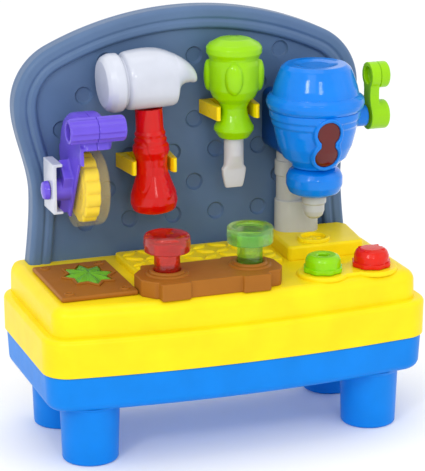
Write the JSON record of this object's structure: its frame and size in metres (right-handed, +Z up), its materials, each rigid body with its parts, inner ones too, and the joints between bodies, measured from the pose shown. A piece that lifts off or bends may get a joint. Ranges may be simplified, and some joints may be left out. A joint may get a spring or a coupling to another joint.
{
  "type": "toy tool bench",
  "caption": "Legged toy work bench with a pegged back panel that holds a hammer, a screwdriver, a circular saw and a hand-cranked drill.",
  "frame": {"origin": "on the floor, under the middle of the whole object", "axes": "+X to the right of someone who plays at it, +Y back towards the panel, +Z up"},
  "size_m": [0.32, 0.157, 0.3345],
  "materials": {
    "tray_blue": "smooth satin",
    "yellow": "smooth satin",
    "slate": "fine matt",
    "brown": "satin",
    "clear_red": "clear tinted",
    "clear_green": "clear tinted",
    "clear_amber": "clear tinted",
    "clear_grey": "clear tinted",
    "clear_dark_red": "clear tinted",
    "nut_green": "smooth gloss",
    "nut_red": "smooth gloss",
    "red": "smooth gloss",
    "lime": "smooth gloss",
    "purple": "satin",
    "white": "smooth gloss",
    "drill_blue": "smooth gloss",
    "drill_dark": "satin",
    "clip_yellow": "satin",
    "pipe_grey": "satin",
    "steel": "bright",
    "black": "matt",
    "board": "matt",
    "cell": "satin"
  },
  "bodies": {
    "bench": {"back_panel": "slate", "base_tray": "tray_blue", "batteries": "cell", "battery_contacts": "steel", "battery_door": "tray_blue", "bench_top": "yellow", "button_plate": "brown", "button_spring": "steel", "case_screws": "steel", "circuit_board": "board", "clip_screws": "steel", "drill_body": "drill_blue", "drill_bracket": "drill_dark", "drill_cap": "drill_blue", "drill_column": "pipe_grey", "drill_lamp": "board", "drill_lens": "clear_dark_red", "hammer_clip": "clip_yellow", "leg_front_left": "tray_blue", "leg_front_right": "tray_blue", "leg_rear_left": "tray_blue", "leg_rear_right": "tray_blue", "panel_rear_cover": "slate", "panel_screws": "steel", "peg_beam": "brown", "rocker_bracket": "white", "rocker_pin": "steel", "saw_hook": "slate", "screwdriver_clip": "clip_yellow", "speaker": "black", "switch_board": "board"},
    "red_peg": {"red_peg": "clear_red"},
    "green_peg": {"green_peg": "clear_green"},
    "rocker": {"peg_rocker": "white"},
    "star_button": {"star_button": "clear_green"},
    "green_nut": {"green_nut": "nut_green", "green_nut_clip": "white"},
    "red_nut": {"red_nut": "nut_red", "red_nut_clip": "white"},
    "hammer": {"hammer_head": "white", "hammer_handle": "red"},
    "screwdriver": {"screwdriver_handle": "lime", "screwdriver_blade": "clear_grey"},
    "saw": {"saw_housing_left": "purple", "saw_housing_right": "purple", "saw_guard": "clear_amber", "saw_shoe": "white", "saw_screws": "steel"},
    "saw_rotor": {"saw_blade": "clip_yellow", "saw_axle": "steel", "saw_knob": "purple"},
    "crank": {"crank_arm": "lime", "crank_shaft": "steel", "crown_gear": "white"},
    "crank_grip": {"crank_grip": "lime"},
    "drill_spindle": {"drill_spindle": "white", "drill_chuck": "drill_blue", "drill_bit": "pipe_grey"}
  },
  "joints": [
    {"name": "red_peg_slide", "type": "slide", "parent": "bench", "child": "red_peg", "axis": [0, 0, 1], "range_m": [-0.01, 0.01]},
    {"name": "green_peg_slide", "type": "slide", "parent": "bench", "child": "green_peg", "axis": [0, 0, 1], "range_m": [-0.01, 0.01]},
    {"name": "rocker_tilt", "type": "hinge", "parent": "bench", "child": "rocker", "pos_m": [-0.0195, -0.036, 0.103], "axis": [0, 1, 0], "range_deg": [-16.7, 16.7]},
    {"name": "star_button_press", "type": "slide", "parent": "bench", "child": "star_button", "axis": [0, 0, 1], "range_m": [-0.0025, 0], "stiffness_N_per_m": 400, "springref_m": 0.001, "deforming": ["button_spring"]},
    {"name": "green_nut_turn", "type": "hinge", "parent": "bench", "child": "green_nut", "pos_m": [0.075, -0.042, 0.13], "axis": [0, 0, 1], "continuous": true},
    {"name": "red_nut_turn", "type": "hinge", "parent": "bench", "child": "red_nut", "pos_m": [0.1175, -0.041, 0.13], "axis": [0, 0, 1], "continuous": true},
    {"name": "crank_turn", "type": "hinge", "parent": "bench", "child": "crank", "pos_m": [0.138, 0.0155, 0.2443], "axis": [1, 0, 0], "continuous": true},
    {"name": "crank_grip_spin", "type": "hinge", "parent": "crank", "child": "crank_grip", "pos_m": [0.148, 0.0155, 0.2773], "axis": [1, 0, 0], "continuous": true},
    {"name": "drill_spin", "type": "hinge", "parent": "bench", "child": "drill_spindle", "pos_m": [0.0905, 0.0155, 0.2], "axis": [0, 0, 1], "continuous": true},
    {"name": "hammer_lift_off", "type": "slide", "parent": "bench", "child": "hammer", "axis": [0, -0.9511, 0.309], "range_m": [0, 0.12]},
    {"name": "screwdriver_lift_off", "type": "slide", "parent": "bench", "child": "screwdriver", "axis": [0, -1, 0], "range_m": [0, 0.12]},
    {"name": "saw_lift_off", "type": "slide", "parent": "bench", "child": "saw", "axis": [0, -1, 0], "range_m": [0, 0.12]},
    {"name": "saw_blade_spin", "type": "hinge", "parent": "saw", "child": "saw_rotor", "pos_m": [-0.1, 0.033, 0.2005], "axis": [1, 0, 0], "continuous": true}
  ],
  "couplings": [
    {"joint": "green_peg_slide", "follows": "red_peg_slide", "ratio": -1},
    {"joint": "rocker_tilt", "follows": "red_peg_slide", "rad_per_m": 28.985},
    {"joint": "drill_spin", "follows": "crank_turn", "ratio": 2}
  ]
}
